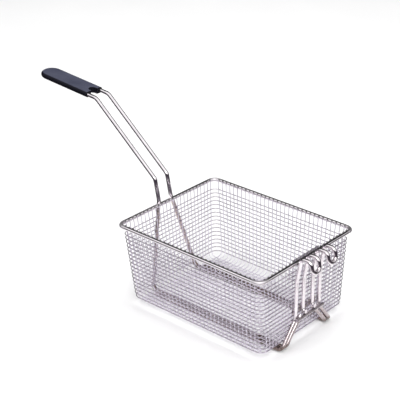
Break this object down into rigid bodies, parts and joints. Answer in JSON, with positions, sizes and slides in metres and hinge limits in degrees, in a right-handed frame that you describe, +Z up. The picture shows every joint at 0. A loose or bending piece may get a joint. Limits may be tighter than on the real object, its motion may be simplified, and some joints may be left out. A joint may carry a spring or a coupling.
{
  "type": "deep fryer basket",
  "caption": "Rectangular wire mesh basket for a deep fryer, with a bent rod rim, a raised plastic coated rod handle at one end and hooks at the other.",
  "frame": {"origin": "on the table, under the middle of the rim", "axes": "+X from the handle end to the hook end, +Y across the basket, +Z up"},
  "size_m": [0.4698, 0.185, 0.2354],
  "materials": {
    "bright_rod": "bright nickel plate",
    "mesh_wire": "bright drawn wire",
    "strip_steel": "satin",
    "grip_plastic": "satin moulded"
  },
  "bodies": {
    "root": {"rim_rod": "bright_rod", "lengthwise_wires": "mesh_wire", "crosswise_wires": "mesh_wire", "ring_wires": "mesh_wire", "handle_rod": "bright_rod", "grip": "grip_plastic", "left_hook_wire": "bright_rod", "right_hook_wire": "bright_rod", "crossbar": "bright_rod", "hook_rim_strip": "strip_steel", "hook_foot_strip": "strip_steel"}
  },
  "joints": []
}
